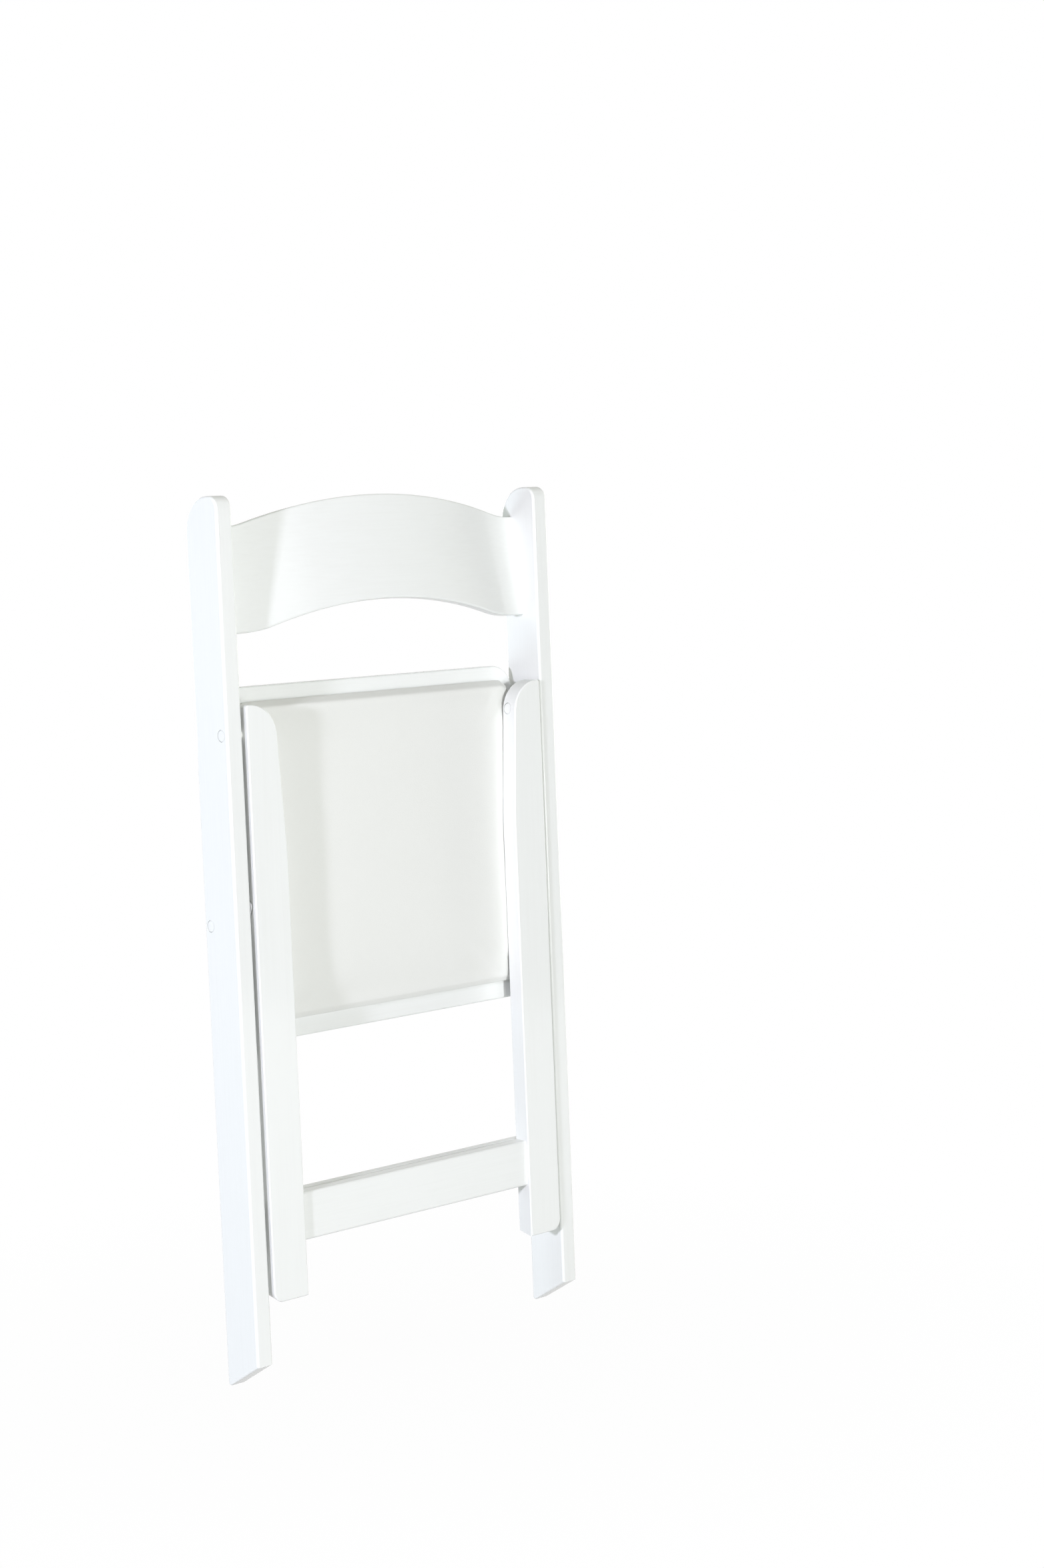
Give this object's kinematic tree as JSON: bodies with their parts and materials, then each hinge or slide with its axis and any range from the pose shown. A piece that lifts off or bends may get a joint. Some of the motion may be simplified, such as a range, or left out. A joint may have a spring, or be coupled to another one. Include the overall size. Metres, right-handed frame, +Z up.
{
  "type": "folding chair",
  "caption": "Folding chair with flat painted wooden posts, a bowed back slat, swinging rear legs and a padded seat that folds up between them.",
  "frame": {"origin": "on the floor, under the middle of the folded chair's box", "axes": "+X to the sitter's right, +Y the way the sitter faces, +Z up along the posts"},
  "size_m": [0.438, 0.0644, 0.9],
  "materials": {
    "white_paint": "satin white lacquer on hardwood",
    "white_vinyl": "matt white vinyl with a fine grain",
    "foam": "upholstery foam",
    "plywood": "raw plywood",
    "beech": "raw beech dowel",
    "zinc_steel": "zinc plated steel",
    "nylon": "white nylon"
  },
  "bodies": {
    "back_frame": {"left_post": "white_paint", "right_post": "white_paint", "back_slat": "white_paint", "slat_dowels": "beech", "front_stretcher": "white_paint", "front_stretcher_dowels": "beech", "post_upper_plugs": "white_paint", "post_lower_plugs": "white_paint", "leg_pivot_bolts": "zinc_steel", "seat_pivot_bolts": "zinc_steel", "leg_pivot_washers": "nylon", "seat_pivot_washers": "nylon"},
    "rear_legs": {"left_leg": "white_paint", "right_leg": "white_paint", "rear_stretcher": "white_paint", "rear_stretcher_dowels": "beech", "leg_pivot_nuts": "zinc_steel", "leg_inner_plugs": "white_paint", "link_rivets": "zinc_steel"},
    "seat": {"seat_front_rail": "white_paint", "seat_rear_rail": "white_paint", "seat_left_rail": "white_paint", "seat_right_rail": "white_paint", "seat_rail_dowels": "beech", "seat_pivot_bushes": "zinc_steel", "link_studs": "zinc_steel", "pad_board": "plywood", "pad_foam": "foam", "pad_cover": "white_vinyl", "pad_staples": "zinc_steel", "pad_screws": "zinc_steel"},
    "links": {"left_link": "zinc_steel", "right_link": "zinc_steel", "link_pins": "zinc_steel"}
  },
  "joints": [
    {"name": "seat_fold", "type": "hinge", "parent": "back_frame", "child": "seat", "pos_m": [0, 0.01404, 0.472], "axis": [-1, 0, 0], "range_deg": [0, 117]},
    {"name": "leg_swing", "type": "hinge", "parent": "back_frame", "child": "rear_legs", "pos_m": [0, -0.01946, 0.664], "axis": [-1, 0, 0], "range_deg": [0, 42]},
    {"name": "link_swing", "type": "hinge", "parent": "rear_legs", "child": "links", "pos_m": [0, -0.02076, 0.492], "axis": [1, 0, 0], "range_deg": [0, 88.75]}
  ],
  "couplings": [
    {"joint": "leg_swing", "follows": "seat_fold", "ratio": 0.35897},
    {"joint": "link_swing", "follows": "seat_fold", "ratio": 0.7585}
  ]
}
